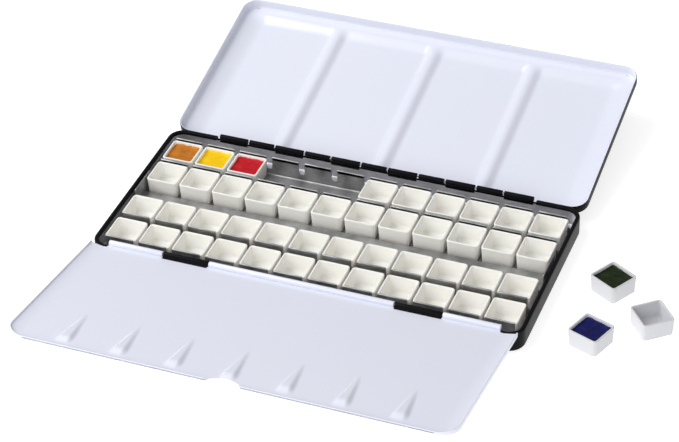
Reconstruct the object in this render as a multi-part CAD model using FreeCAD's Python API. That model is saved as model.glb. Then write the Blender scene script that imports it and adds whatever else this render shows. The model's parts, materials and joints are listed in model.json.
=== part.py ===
"""Watercolour tin with a mixing lid, a folding palette flap and 48 half pans.

Millimetres, +Z up, +Y towards the mixing lid, +X to the right.
The origin is the middle of the tin's footprint on the table.
The lid and the flap are modelled folded open.
"""
import math
import os

import FreeCAD
import Part

os.makedirs("parts", exist_ok=True)

Vector = FreeCAD.Vector
X_AXIS = Vector(1, 0, 0)
Y_AXIS = Vector(0, 1, 0)
Z_AXIS = Vector(0, 0, 1)
TINY = 0.01

# half pans, standing in four rows
pans_per_row = 12
pan_pitch = 19.7
pan_width = 18.3
pan_depth = 18.0
pan_height = 10.5
pan_wall = 1.15
pan_floor = 1.3
pan_draft = 0.5
pan_corner = 1.8
cavity_lean = 0.2
cavity_corner = 1.1
pan_rim_rounding = 0.4
pan_foot_rounding = 0.5
row_gap = 3.8
channel_width = 15.5

# pan holder
holder_sheet = 0.7
holder_floor_top = 1.5
holder_side_gap = 3.6
holder_edge = 0.6
holder_corner = 2.0
pan_float = 0.1
clip_slot = 3.5
clip_curb = 3.4
clip_sheet = 0.5
clip_hem = 1.0
clip_hem_height = 1.8
clip_gap = 0.15
clip_rounding = 0.3
bridge_height = 2.7
bridge_sheet = 0.6
bridge_inset = 0.7
end_plate_length = 20.6
end_plate_shift = 5.5
end_plate_sheet = 0.6
end_plate_proud = 0.4

# tin, sized round the rows of pans
side_room = 4.3
front_room = 9.35
rear_room = 11.35
rim_above_pans = 0.1
tin_wall = 0.8
tin_corner = 9.0
foot_rounding = 1.6
rim_width = 2.4
rim_height = 2.2
rim_rounding = 0.9

# mixing lid, the same outline as the tin
lid_gap = 0.15
lid_rise = 10.5
lid_skirt = 6.0
lid_wall = 0.7
lid_sheet = 0.6
lid_edge_rounding = 1.4
well_count = 4
well_drop = 2.4
well_slope = 3.5
well_corner = 8.0
well_skin = 0.3
well_side_ledge = 3.0
well_far_ledge = 5.5
well_near_ledge = 4.0
divider_crest = 2.2

# rear hinge
rear_axis_proud = 0.3
rear_axis_drop = 0.4
rear_barrel = 1.5
rear_wire = 0.55
rear_end_room = 2.0
rear_steps = 5
base_knuckle = 17.0
lid_knuckle = 14.8
rear_knuckle_pitch = 17.05

# palette flap
flap_rise = 9.1
flap_short = 10.0
flap_side_gap = 1.6
flap_sheet = 0.6
flap_rim = 2.1
flap_lip = 0.6
flap_wall = 0.7
flap_corner = 10.0
corner_setback = 3.2
corner_radius = 3.4
corner_overlap = 0.6
flap_ridges = 7
ridge_spacing = 30.0
ridge_length = 25.0
ridge_width = 9.0
ridge_height = 1.6
ridge_setback = 8.0
ridge_peak = 2.0
notch_width = 18.0
notch_depth = 4.8

# front hinge
front_axis_inset = 2.5
front_axis_height = 1.3
front_barrel = 1.6
front_wire = 0.6
front_base_centre = 66.0
front_base_knuckle = 26.0
front_end_room = 9.9
front_tab_sheet = 0.8

# fits
hinge_gap = 0.5
running_fit = 0.06
barrel_clearance = 0.35
wire_short = 0.2

# paint and loose pans
paint_below_rim = 1.3
paint_fit = 0.02
empty_slots = (4, 5, 6)
painted = {(1, 1): "ochre", (1, 2): "yellow", (1, 3): "red"}
loose_pans = (
    ("green", 153.0, 8.9, -29.6),
    ("blue", 153.9, -36.8, -19.9),
    ("empty", 180.5, -14.9, -50.5),
)

# sizes that follow from the ones above
row_pitch = pan_depth + row_gap
clip_width = pan_pitch - clip_slot
pan_seat = holder_floor_top + pan_float
tin_length = pans_per_row * pan_pitch + 2 * side_room
tin_depth = channel_width + 2 * pan_depth + 2 * row_pitch + front_room + rear_room
tin_height = pan_seat + pan_height + rim_above_pans
lid_depth = tin_depth
flap_length = tin_depth - flap_short
flap_width = tin_length - 2 * flap_side_gap
channel_centre = (front_room - rear_room) / 2
bridge_top = holder_floor_top + bridge_height
rear_axis_y = tin_depth / 2 + rear_axis_proud
rear_axis_z = tin_height - rear_axis_drop
front_axis_y = front_axis_inset - tin_depth / 2
front_axis_z = tin_height + front_axis_height
front_base_inner = front_base_centre - front_base_knuckle / 2
front_base_outer = front_base_centre + front_base_knuckle / 2
front_outer = flap_width / 2 - front_end_room
half_length = tin_length / 2
half_depth = tin_depth / 2

row_centre = {
    1: channel_centre + channel_width / 2 + pan_depth / 2 + row_pitch,
    2: channel_centre + channel_width / 2 + pan_depth / 2,
    3: channel_centre - channel_width / 2 - pan_depth / 2,
    4: channel_centre - channel_width / 2 - pan_depth / 2 - row_pitch,
}


def pan_x(column):
    return (column - (pans_per_row + 1) / 2) * pan_pitch


def box(x0, x1, y0, y1, z0, z1):
    return Part.makeBox(x1 - x0, y1 - y0, z1 - z0, Vector(x0, y0, z0))


def rounded_wire(x0, x1, y0, y1, radius, z):
    """Closed rectangle with rounded corners at height z."""
    corners = (
        (x1 - radius, y0 + radius, -90),
        (x1 - radius, y1 - radius, 0),
        (x0 + radius, y1 - radius, 90),
        (x0 + radius, y0 + radius, 180),
    )
    arcs = []
    for cx, cy, start in corners:
        circle = Part.Circle(Vector(cx, cy, z), Z_AXIS, radius)
        arcs.append(Part.ArcOfCircle(circle, math.radians(start), math.radians(start + 90)).toShape())
    edges = []
    for index, arc in enumerate(arcs):
        following = arcs[(index + 1) % 4]
        edges.append(arc)
        edges.append(Part.makeLine(arc.Vertexes[-1].Point, following.Vertexes[0].Point))
    return Part.Wire(edges)


def rounded_block(x0, x1, y0, y1, radius, z0, z1):
    face = Part.Face(rounded_wire(x0, x1, y0, y1, radius, z0))
    return face.extrude(Vector(0, 0, z1 - z0))


def rounded_loft(lower, upper, radius_low, radius_high, z0, z1):
    """Tapered block between two (x0, x1, y0, y1) rectangles."""
    bottom = rounded_wire(*lower, radius_low, z0)
    top = rounded_wire(*upper, radius_high, z1)
    return Part.makeLoft([bottom, top], True, True)


def inset(rectangle, amount):
    x0, x1, y0, y1 = rectangle
    return (x0 + amount, x1 - amount, y0 + amount, y1 - amount)


def joined(shapes):
    first = shapes[0]
    if len(shapes) > 1:
        first = first.fuse(shapes[1:])
    return first.removeSplitter()


def bar(x0, x1, y, z, radius):
    return Part.makeCylinder(radius, x1 - x0, Vector(x0, y, z), X_AXIS)


def bar_across(x, y0, y1, z, radius):
    return Part.makeCylinder(radius, y1 - y0, Vector(x, y0, z), Y_AXIS)


def edges_at(shape, z, tolerance=0.01):
    """Edges lying wholly at height z."""
    found = []
    for edge in shape.Edges:
        limits = edge.BoundBox
        if abs(limits.ZMin - z) < tolerance and abs(limits.ZMax - z) < tolerance:
            found.append(edge)
    return found


def save(shape, name):
    shape.exportStep("parts/" + name + ".step")


def rear_spans():
    """X spans of the base knuckles and of the lid knuckles."""
    base_spans = []
    lid_spans = []
    for step in range(-rear_steps, rear_steps + 1):
        centre = step * rear_knuckle_pitch
        if step % 2:
            base_spans.append((centre - base_knuckle / 2, centre + base_knuckle / 2))
        else:
            lid_spans.append((centre - lid_knuckle / 2, centre + lid_knuckle / 2))
    return base_spans, lid_spans


base_spans, lid_spans = rear_spans()
rear_reach = base_spans[-1][1] + rear_end_room
front_base_spans = ((-front_base_outer, -front_base_inner), (front_base_inner, front_base_outer))
front_flap_spans = (
    (-front_outer, -front_base_outer - hinge_gap),
    (-front_base_inner + hinge_gap, front_base_inner - hinge_gap),
    (front_base_outer + hinge_gap, front_outer),
)


def base_tin():
    outline = (-half_length, half_length, -half_depth, half_depth)
    shell = rounded_block(*outline, tin_corner, 0, tin_height)
    shell = shell.makeFillet(foot_rounding, edges_at(shell, 0))
    rim_inner = rounded_block(*inset(outline, rim_width), tin_corner - rim_width, -1, tin_height + 1)
    rim = rounded_block(*outline, tin_corner, tin_height - rim_height, tin_height).cut(rim_inner)
    rim = rim.makeFillet(rim_rounding, edges_at(rim, tin_height))
    hollow = rounded_block(*inset(outline, tin_wall), tin_corner - tin_wall, tin_wall, tin_height + 1)
    shell = shell.cut(hollow)
    top_skin = rounded_block(*outline, tin_corner, tin_height - rim_height, tin_height + 1)
    tin = joined([shell.cut(top_skin), rim])
    # rear wall lowered where the lid hinge sits
    rear_cut_floor = rear_axis_z - rear_barrel - barrel_clearance
    tin = tin.cut(box(-rear_reach, rear_reach, half_depth - rim_width - 1, half_depth + 5,
                      rear_cut_floor, 30))
    # front rim cut away where the flap's barrels and sheet pass
    front_cut_floor = front_axis_z - front_barrel - barrel_clearance
    for x0, x1 in front_flap_spans:
        tin = tin.cut(box(x0 - hinge_gap, x1 + hinge_gap, -half_depth - 5, -half_depth + rim_width + 1,
                          front_cut_floor, 30))
    additions = [tin]
    for x0, x1 in base_spans:
        additions.append(bar(x0, x1, rear_axis_y, rear_axis_z, rear_barrel))
        additions.append(box(x0, x1, half_depth - tin_wall, half_depth, rear_cut_floor - 1, rear_axis_z))
    for x0, x1 in front_base_spans:
        additions.append(bar(x0, x1, front_axis_y, front_axis_z, front_barrel))
        wall_y = front_axis_y - front_barrel
        additions.append(box(x0, x1, wall_y, wall_y + front_tab_sheet, tin_height - 1, front_axis_z))
    tin = joined(additions)
    tin = tin.cut(bar(-half_length, half_length, rear_axis_y, rear_axis_z, rear_wire + running_fit))
    tin = tin.cut(bar(-half_length, half_length, front_axis_y, front_axis_z, front_wire + running_fit))
    for x0, x1 in lid_spans:
        tin = tin.cut(bar(x0 - hinge_gap, x1 + hinge_gap, rear_axis_y, rear_axis_z,
                          rear_barrel + barrel_clearance))
    return tin


def well_rectangles():
    """Top outlines of the lid wells, hinge side at y = 0, far side at y = lid_depth."""
    left = -half_length + lid_wall + well_side_ledge
    right = -left
    width = (right - left - divider_crest * (well_count - 1)) / well_count
    near = well_near_ledge
    far = lid_depth - lid_wall - well_far_ledge
    rectangles = []
    for index in range(well_count):
        x0 = left + index * (width + divider_crest)
        rectangles.append((x0, x0 + width, near, far))
    return rectangles


def mixing_lid():
    """Tray built flat with its rim up at z = 0 and its hinge wall along y = 0."""
    outline = (-half_length, half_length, 0, lid_depth)
    tray = rounded_block(*outline, tin_corner, -lid_skirt, 0)
    tray = tray.makeFillet(lid_edge_rounding, edges_at(tray, -lid_skirt))
    tray = tray.cut(rounded_block(*inset(outline, lid_wall), tin_corner - lid_wall, lid_sheet - lid_skirt, 1))
    ledge = lid_sheet - lid_skirt
    floor_corner = well_corner - well_slope + 0.5
    for top in well_rectangles():
        floor = inset(top, well_slope)
        outer = rounded_loft(inset(floor, -well_skin), inset(top, -well_skin),
                             floor_corner + well_skin, well_corner + well_skin,
                             -lid_skirt - well_drop, ledge - well_skin)
        tray = tray.fuse(outer)
    for top in well_rectangles():
        floor = inset(top, well_slope)
        inner = rounded_loft(floor, top, floor_corner, well_corner, ledge - well_drop, ledge)
        tray = tray.cut(inner)
        tray = tray.cut(rounded_block(*top, well_corner, ledge - TINY, 1))
    # wall cleared along the base knuckles, tabs left for the lid knuckles
    axis_in = rear_axis_y - half_depth
    axis_drop = tin_height + lid_gap - rear_axis_z
    clear = rear_barrel + barrel_clearance
    tray = tray.cut(box(-rear_reach, rear_reach, -3, 2.2, -axis_drop - clear, 3))
    additions = [tray]
    for x0, x1 in lid_spans:
        additions.append(bar(x0, x1, -axis_in, axis_drop, rear_barrel))
        additions.append(box(x0, x1, 0, lid_wall, -axis_drop - clear - 0.5, axis_drop))
    lid = joined(additions)
    lid = lid.cut(bar(-half_length, half_length, -axis_in, axis_drop, rear_wire + running_fit))
    for x0, x1 in base_spans:
        lid = lid.cut(bar(x0 - hinge_gap, x1 + hinge_gap, -axis_in, axis_drop, clear))
    # hinge axis to its place, then tilted up from flat
    lid.translate(Vector(0, rear_axis_y + axis_in, rear_axis_z - axis_drop))
    lid.rotate(Vector(0, rear_axis_y, rear_axis_z), X_AXIS, lid_rise)
    return lid


def flap_ridge(centre_x):
    """Wedge that widens and rises towards the free edge."""
    y_tip = -(flap_length - ridge_setback - ridge_length)
    y_end = -(flap_length - ridge_setback)
    base = -TINY
    tip = Vector(centre_x, y_tip, base)
    left = Vector(centre_x - ridge_width / 2, y_end, base)
    right = Vector(centre_x + ridge_width / 2, y_end, base)
    peak = Vector(centre_x, y_end + ridge_peak, ridge_height)
    faces = []
    for corners in ((tip, left, right), (tip, peak, left), (tip, right, peak), (left, peak, right)):
        faces.append(Part.Face(Part.makePolygon(list(corners) + [corners[0]])))
    return Part.Solid(Part.Shell(faces))


def palette_flap():
    """Sheet built flat, top face at z = 0, hinge line along y = 0, free edge at -flap_length."""
    half = flap_width / 2
    outline = (-half, half, -flap_length, 20)
    under = -flap_sheet
    blank = rounded_block(*outline, flap_corner, under, flap_rim)
    hollow = rounded_block(*inset(outline, flap_wall), flap_corner - flap_wall, 0, flap_rim + 1)
    flap = blank.cut(hollow)
    # free edge lowered to a lip
    lip_cut = box(-half + flap_corner, half - flap_corner, -flap_length - 1, -flap_length + 3, flap_lip, 10)
    flap = flap.cut(lip_cut)
    # sheet ends at the hinge, side rims stop short of it
    flap = flap.cut(box(-half - 1, half + 1, 0, 30, -5, 10))
    flap = flap.cut(box(-half - 1, -front_outer, -corner_setback, 1, -5, 10))
    flap = flap.cut(box(front_outer, half + 1, -corner_setback, 1, -5, 10))
    for side in (-1, 1):
        corner = Vector(side * (front_outer + corner_radius - corner_overlap), 0, -4)
        flap = flap.cut(Part.makeCylinder(corner_radius, 8, corner, Z_AXIS))
    clear = front_axis_inset + hinge_gap
    for x0, x1 in front_base_spans:
        flap = flap.cut(box(x0 - hinge_gap, x1 + hinge_gap, -clear, 1, -5, 10))
    additions = [flap]
    for index in range(flap_ridges):
        additions.append(flap_ridge((index - (flap_ridges - 1) / 2) * ridge_spacing))
    axis_up = front_barrel - flap_sheet
    for x0, x1 in front_flap_spans:
        additions.append(bar(x0, x1, 0, axis_up, front_barrel))
    flap = joined(additions)
    notch = Part.makeCylinder(notch_width / 2, 10, Vector(0, 0, -5), Z_AXIS)
    stretch = FreeCAD.Matrix()
    stretch.scale(Vector(1, notch_depth / (notch_width / 2), 1))
    notch = notch.transformGeometry(stretch)
    notch.translate(Vector(0, -flap_length, 0))
    flap = flap.cut(notch)
    flap = flap.cut(bar(-half, half, 0, axis_up, front_wire + running_fit))
    flap.translate(Vector(0, front_axis_y, front_axis_z - axis_up))
    flap.rotate(Vector(0, front_axis_y, front_axis_z), X_AXIS, -flap_rise)
    return flap


def clip_strip(y_pan, side, reach):
    """Upright strip of spring clips beside a row of pans; side is +1 at its rear, -1 at its front."""
    near = y_pan + side * clip_gap
    far = near + side * clip_sheet
    hem = near + side * clip_hem
    top = pan_seat + pan_height
    curb = holder_floor_top + clip_curb
    slot_radius = (pan_pitch - clip_width) / 2
    strip = box(-reach, reach, min(near, far), max(near, far), holder_floor_top - TINY, top)
    slots = []
    folds = []
    for column in range(pans_per_row + 1):
        x = pan_x(column + 0.5)
        slot = bar_across(x, min(near, far) - 1, max(near, far) + 1, curb + slot_radius, slot_radius)
        slots.append(slot)
        slots.append(box(x - slot_radius, x + slot_radius, min(near, far) - 1, max(near, far) + 1,
                         curb + slot_radius, top + 1))
    for side_end in (-1, 1):
        x0, x1 = sorted((side_end * (pan_x(pans_per_row + 0.5) - TINY), side_end * (reach + 1)))
        slots.append(box(x0, x1, min(near, far) - 1, max(near, far) + 1, curb, top + 1))
    strip = strip.cut(slots)
    for column in range(1, pans_per_row + 1):
        x0 = pan_x(column) - clip_width / 2
        fold = box(x0, x0 + clip_width, min(near, hem), max(near, hem), top - clip_hem_height, top)
        folds.append(fold.makeFillet(clip_rounding, edges_at(fold, top)))
    return [strip] + folds


def pan_holder():
    top = holder_floor_top
    bottom = top - holder_sheet
    side = half_length - holder_side_gap
    rear = row_centre[1] + pan_depth / 2 + clip_hem + holder_edge
    front = row_centre[4] - pan_depth / 2 - clip_hem - holder_edge
    pieces = [rounded_block(-side, side, front, rear, holder_corner, bottom, top)]
    bridge_rear = channel_centre + channel_width / 2 - bridge_inset
    bridge_front = channel_centre - channel_width / 2 + bridge_inset
    bridge = box(-side, side, bridge_front, bridge_rear, top - TINY, bridge_top)
    tunnel = box(-side - 1, side + 1, bridge_front + bridge_sheet, bridge_rear - bridge_sheet,
                 bottom - 1, bridge_top - bridge_sheet)
    pieces.append(bridge)
    plate_front = channel_centre + end_plate_shift - end_plate_length / 2
    for sign in (-1, 1):
        x0, x1 = sorted((sign * side, sign * (side - end_plate_sheet)))
        pieces.append(box(x0, x1, plate_front, plate_front + end_plate_length,
                          top - TINY, pan_seat + pan_height + end_plate_proud))
    for row in (1, 2, 3, 4):
        direction = 1 if row < 3 else -1
        edge = row_centre[row] + direction * pan_depth / 2
        pieces.extend(clip_strip(edge, direction, side - end_plate_sheet))
    return joined(pieces).cut(tunnel)


def half_pan():
    """Tapered cup standing on z = 0, centred on the origin."""
    w = pan_width / 2
    d = pan_depth / 2
    top = (-w, w, -d, d)
    cup = rounded_loft(inset(top, pan_draft), top, pan_corner, pan_corner, 0, pan_height)
    cup = cup.makeFillet(pan_foot_rounding, edges_at(cup, 0))
    mouth = inset(top, pan_wall)
    cavity = rounded_loft(inset(mouth, pan_draft + cavity_lean), mouth, cavity_corner, cavity_corner,
                          pan_floor, pan_height)
    cup = cup.cut(cavity)
    return cup.makeFillet(pan_rim_rounding, edges_at(cup, pan_height))


def paint_cake():
    """Paint filling a pan standing on z = 0."""
    w = pan_width / 2
    d = pan_depth / 2
    mouth = inset((-w, w, -d, d), pan_wall)
    foot = inset(mouth, pan_draft + cavity_lean + paint_fit)
    full = rounded_loft(foot, inset(mouth, paint_fit), cavity_corner, cavity_corner, pan_floor, pan_height)
    level = pan_height - paint_below_rim
    return full.common(box(-w, w, -d, d, pan_floor, level))


def placed(shape, x, y, z, turn=0.0):
    copy = shape.copy()
    copy.rotate(Vector(0, 0, 0), Z_AXIS, turn)
    copy.translate(Vector(x, y, z))
    return copy


save(base_tin(), "base_tin")
save(mixing_lid(), "mixing_lid")
save(palette_flap(), "palette_flap")
save(pan_holder(), "pan_holder")
wire_end = rear_reach - rear_end_room - wire_short
save(bar(-wire_end, wire_end, rear_axis_y, rear_axis_z, rear_wire), "rear_hinge_wire")
wire_end = front_outer - wire_short
save(bar(-wire_end, wire_end, front_axis_y, front_axis_z, front_wire), "front_hinge_wire")

cup = half_pan()
cake = paint_cake()

for row in (1, 2, 3, 4):
    for column in range(1, pans_per_row + 1):
        if row == 1 and column in empty_slots:
            continue
        x = pan_x(column)
        y = row_centre[row]
        save(placed(cup, x, y, pan_seat), "pan_r%d_c%02d" % (row, column))
        if (row, column) in painted:
            save(placed(cake, x, y, pan_seat), "paint_" + painted[(row, column)])

for name, x, y, turn in loose_pans:
    save(placed(cup, x, y, 0, turn), "pan_loose_" + name)
    if name != "empty":
        save(placed(cake, x, y, 0, turn), "paint_" + name)
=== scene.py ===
import json
import math

import bmesh
import bpy
from mathutils import Matrix, Vector, noise


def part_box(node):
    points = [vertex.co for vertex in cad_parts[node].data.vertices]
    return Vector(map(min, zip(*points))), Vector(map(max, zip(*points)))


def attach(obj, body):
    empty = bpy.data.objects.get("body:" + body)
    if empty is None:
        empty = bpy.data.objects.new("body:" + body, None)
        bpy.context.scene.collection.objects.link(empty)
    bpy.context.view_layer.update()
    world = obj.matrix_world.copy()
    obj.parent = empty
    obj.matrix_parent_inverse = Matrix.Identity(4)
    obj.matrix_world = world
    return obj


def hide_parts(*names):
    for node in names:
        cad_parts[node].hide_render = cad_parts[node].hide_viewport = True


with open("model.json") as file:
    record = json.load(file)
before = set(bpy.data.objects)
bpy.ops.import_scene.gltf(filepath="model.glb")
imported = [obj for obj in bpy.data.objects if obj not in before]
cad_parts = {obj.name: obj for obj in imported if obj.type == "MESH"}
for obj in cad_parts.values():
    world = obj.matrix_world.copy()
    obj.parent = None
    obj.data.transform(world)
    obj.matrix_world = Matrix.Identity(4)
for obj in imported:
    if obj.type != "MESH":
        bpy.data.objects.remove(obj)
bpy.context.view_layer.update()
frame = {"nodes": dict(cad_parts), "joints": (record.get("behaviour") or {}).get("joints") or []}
nodes = frame["nodes"]
joints = {joint["name"]: joint for joint in frame["joints"]}
mm = 0.001
print("frame loaded:", len(nodes), "nodes")


# shader maths
class Signal:  # a node socket; arithmetic on it adds Math nodes

    def __init__(self, tree, socket=None):
        self.tree = tree
        self.socket = socket

    def node(self, kind, settings, sockets, output=0):
        made = self.tree.nodes.new(kind)
        for name, value in settings.items():
            if name == "stops":
                setStops(made.color_ramp, value)
            else:
                setattr(made, name, value)
        for name, value in sockets.items():
            if isinstance(value, Signal):
                self.tree.links.new(value.socket, made.inputs[name])
            else:
                made.inputs[name].default_value = value
        return Signal(self.tree, made.outputs[output])

    def math(self, operation, first, second):
        return self.node("ShaderNodeMath", {"operation": operation}, {0: first, 1: second})

    def __add__(self, other):
        return self.math("ADD", self, other)

    def __radd__(self, other):
        return self.math("ADD", other, self)

    def __mul__(self, other):
        return self.math("MULTIPLY", self, other)

    def __rmul__(self, other):
        return self.math("MULTIPLY", other, self)


def setStops(ramp, stops):
    while len(ramp.elements) > len(stops):
        ramp.elements.remove(ramp.elements[-1])
    while len(ramp.elements) < len(stops):
        ramp.elements.new(0.5)
    for element, (place, value) in zip(ramp.elements, stops):
        element.position = place
        element.color = (value, value, value, 1)


def mixColour(first, second, factor):
    return factor.node("ShaderNodeMix", {"data_type": "RGBA"}, {0: factor, 6: first, 7: second}, 2)


def objectPlace(tree):
    return Signal(tree).node("ShaderNodeTexCoord", {}, {}, 3)


def stretched(place, scale):
    return place.node("ShaderNodeVectorMath", {"operation": "MULTIPLY"}, {0: place, 1: scale})


def noiseAt(place, scale, detail, roughness=0.5):
    return place.node("ShaderNodeTexNoise", {}, {"Vector": place, "Scale": scale, "Detail": detail,
                                                 "Roughness": roughness})


def ramp(value, *stops):
    return value.node("ShaderNodeValToRGB", {"stops": stops}, {0: value})


def bump(height, distance, strength=1.0):
    return height.node("ShaderNodeBump", {}, {"Height": height, "Distance": distance, "Strength": strength})


def newMaterial(name):
    material = bpy.data.materials.new(name)
    material.use_nodes = True
    tree = material.node_tree
    shader = tree.nodes["Principled BSDF"]
    return material, tree, shader


def feed(tree, shader, **links):
    sockets = {"colour": "Base Color", "roughness": "Roughness", "normal": "Normal"}
    for name, signal in links.items():
        tree.links.new(signal.socket, shader.inputs[sockets[name]])


def fixed(shader, **values):
    # socket names are given in lower case with underscores
    for name, value in values.items():
        shader.inputs[name.replace("_", " ").title().replace("Ior", "IOR")].default_value = value


# finishes
lacquer = {"colour": (0.004, 0.004, 0.005, 1), "dust": (0.010, 0.010, 0.012, 1), "smoothest": 0.29,
           "unevenness": 0.16, "peel": 0.00002, "specular": 0.06}


def makeLacquer():
    material, tree, shader = newMaterial("blackLacquer")
    place = objectPlace(tree)
    cloud = noiseAt(place, 60, 4)
    speck = ramp(noiseAt(place, 900, 2), (0.62, 0.0), (0.75, 1.0))
    colour = mixColour(lacquer["colour"], lacquer["dust"], cloud * 0.6 + speck * 0.3)
    feed(tree, shader, colour=colour, roughness=cloud * lacquer["unevenness"] + lacquer["smoothest"],
         normal=bump(noiseAt(place, 450, 2), lacquer["peel"]))
    fixed(shader, specular_ior_level=lacquer["specular"])
    return material


enamel = {"colour": (0.80, 0.825, 0.945, 1), "warm": (0.825, 0.845, 0.95, 1), "smoothest": 0.17,
          "unevenness": 0.12, "peel": 0.00004, "coat": 0.4, "coatRoughness": 0.06}


def makeEnamel():
    material, tree, shader = newMaterial("whiteEnamel")
    place = objectPlace(tree)
    cloud = noiseAt(place, 18, 3)
    smear = noiseAt(stretched(place, (1.0, 0.35, 1.0)), 55, 4)
    peel = noiseAt(place, 260, 2)
    feed(tree, shader, colour=mixColour(enamel["colour"], enamel["warm"], cloud),
         roughness=smear * enamel["unevenness"] + enamel["smoothest"],
         normal=bump(peel * 0.6 + cloud * 2.0, enamel["peel"]))
    fixed(shader, coat_weight=enamel["coat"], coat_roughness=enamel["coatRoughness"])
    return material


# the inside of the tin, and the pan holder's copy of the same tinplate: more mirror-like, with darker
# colours as painted shade and painted reflection of the dark surroundings
tinplate = {"bright": (0.78, 0.77, 0.82, 1), "dull": (0.52, 0.52, 0.55, 1), "metal": 0.55,
            "holderShadedBright": (0.60, 0.60, 0.61, 1), "holderShadedDull": (0.20, 0.20, 0.20, 1),
            "holderMetal": 0.85, "smoothest": 0.2, "grain": 0.00002}


def makeTinplate(name, dull, bright, metal):
    material, tree, shader = newMaterial(name)
    place = objectPlace(tree)
    streak = noiseAt(stretched(place, (1.0, 14.0, 14.0)), 220, 4)
    cloud = noiseAt(place, 90, 3)
    colour = mixColour(dull, bright, ramp(cloud * 0.7 + streak * 0.3, (0.3, 0.0), (0.7, 1.0)))
    feed(tree, shader, colour=colour, roughness=streak * 0.2 + cloud * 0.1 + tinplate["smoothest"],
         normal=bump(streak, tinplate["grain"]))
    fixed(shader, metallic=metal)
    return material


# warm white in the tin; the three loose pans get a darker, cooler copy of the same plastic as painted shade
# for the dimmer, cooler light on them
plastic = {"colour": (0.92, 0.90, 0.85, 1), "pale": (0.95, 0.94, 0.90, 1),
           "looseShadedColour": (0.62, 0.63, 0.66, 1), "looseShadedPale": (0.67, 0.675, 0.70, 1), "smoothest": 0.32,
           "unevenness": 0.12, "grain": 0.00002, "glow": 0.2, "glowDepth": 0.0015,
           "glowReach": (1.0, 0.75, 0.5)}


def makePlastic(name, colour, pale):
    material, tree, shader = newMaterial(name)
    place = objectPlace(tree)
    cloud = noiseAt(place, 120, 3)
    grain = noiseAt(place, 1500, 2)
    feed(tree, shader, colour=mixColour(colour, pale, cloud),
         roughness=cloud * plastic["unevenness"] + plastic["smoothest"],
         normal=bump(grain * 0.5 + cloud, plastic["grain"]))
    fixed(shader, subsurface_weight=plastic["glow"], subsurface_scale=plastic["glowDepth"],
          subsurface_radius=plastic["glowReach"])
    return material


paints = {
    "ochre": {"deep": (0.42, 0.13, 0.012, 1), "light": (0.66, 0.25, 0.03, 1), "smoothest": 0.3},
    "yellow": {"deep": (0.90, 0.52, 0.002, 1), "light": (0.98, 0.68, 0.01, 1), "smoothest": 0.3},
    "red": {"deep": (0.42, 0.004, 0.012, 1), "light": (0.68, 0.02, 0.03, 1), "smoothest": 0.27},
    "green": {"deep": (0.008, 0.014, 0.004, 1), "light": (0.022, 0.035, 0.012, 1), "smoothest": 0.15},
    "blue": {"deep": (0.004, 0.005, 0.06, 1), "light": (0.012, 0.014, 0.13, 1), "smoothest": 0.25},
}


paintFinish = {"relief": 0.0003, "strength": 0.6, "unevenness": 0.3, "specular": 0.12}


def makePaint(colourName):
    look = paints[colourName]
    material, tree, shader = newMaterial("paint" + colourName.title())
    place = objectPlace(tree)
    pool = noiseAt(place, 170, 4, 0.6)
    brush = noiseAt(stretched(place, (1.0, 3.0, 1.0)), 420, 5, 0.65)
    grain = noiseAt(place, 2600, 2)
    mask = ramp(pool * 0.6 + brush * 0.4, (0.35, 0.0), (0.65, 1.0))
    relief = pool * 1.2 + brush * 0.8 + grain * 0.15
    feed(tree, shader, colour=mixColour(look["deep"], look["light"], mask),
         roughness=brush * paintFinish["unevenness"] + look["smoothest"],
         normal=bump(relief, paintFinish["relief"], paintFinish["strength"]))
    fixed(shader, specular_ior_level=paintFinish["specular"])
    return material


steel = {"dull": (0.35, 0.35, 0.36, 1), "bright": (0.6, 0.6, 0.62, 1), "smoothest": 0.2, "unevenness": 0.2}


def makeSteel():
    material, tree, shader = newMaterial("wireSteel")
    place = objectPlace(tree)
    draw = noiseAt(stretched(place, (1.0, 40.0, 40.0)), 200, 3)
    feed(tree, shader, colour=mixColour(steel["dull"], steel["bright"], draw),
         roughness=draw * steel["unevenness"] + steel["smoothest"])
    fixed(shader, metallic=1.0)
    return material


blackLacquer = makeLacquer()
whiteEnamel = makeEnamel()
brightTin = makeTinplate("tinplate", tinplate["dull"], tinplate["bright"], tinplate["metal"])
# the holder's copy of the tinplate: its darker colours are painted shade and painted reflection
holderShadedTin = makeTinplate("holderShadedTinplate", tinplate["holderShadedDull"], tinplate["holderShadedBright"],
                         tinplate["holderMetal"])
panPlastic = makePlastic("panPlastic", plastic["colour"], plastic["pale"])
# darker, cooler copy of the pan plastic for the loose pans: painted shade
shadedLoosePlastic = makePlastic("shadedLoosePlastic", plastic["looseShadedColour"], plastic["looseShadedPale"])
wireSteel = makeSteel()
print("finishes made")


# mesh tools, in millimetres
cornerSteps = 12


def objectFrom(bm, name, materials, smoothAngle=35):
    bmesh.ops.remove_doubles(bm, verts=bm.verts, dist=0.0004)
    bmesh.ops.dissolve_degenerate(bm, edges=bm.edges, dist=0.0002)
    bmesh.ops.recalc_face_normals(bm, faces=bm.faces)
    bmesh.ops.scale(bm, vec=(mm, mm, mm), verts=bm.verts)
    mesh = bpy.data.meshes.new(name)
    for material in materials:
        mesh.materials.append(material)
    bm.to_mesh(mesh)
    bm.free()
    mesh.shade_smooth()
    mesh.set_sharp_from_angle(angle=math.radians(smoothAngle))
    made = bpy.data.objects.new(name, mesh)
    bpy.context.scene.collection.objects.link(made)
    return made


def loft(bm, rings, closedRings=True, closedAlong=False, capEnds=False, finish=None):
    # joins rings of equal length; finish(ring index) gives the material index of the band after that ring
    made = [[bm.verts.new(point) for point in ring] for ring in rings]
    count = len(made[0])
    bands = len(made) if closedAlong else len(made) - 1
    for index in range(bands):
        first = made[index]
        second = made[(index + 1) % len(made)]
        for step in range(count if closedRings else count - 1):
            following = (step + 1) % count
            face = bm.faces.new((first[step], first[following], second[following], second[step]))
            face.material_index = finish(index) if finish else 0
    if capEnds:
        for ring, index in ((made[0], 0), (made[-1], bands - 1)):
            face = bm.faces.new(ring)
            face.material_index = finish(index) if finish else 0
    return made


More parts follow.
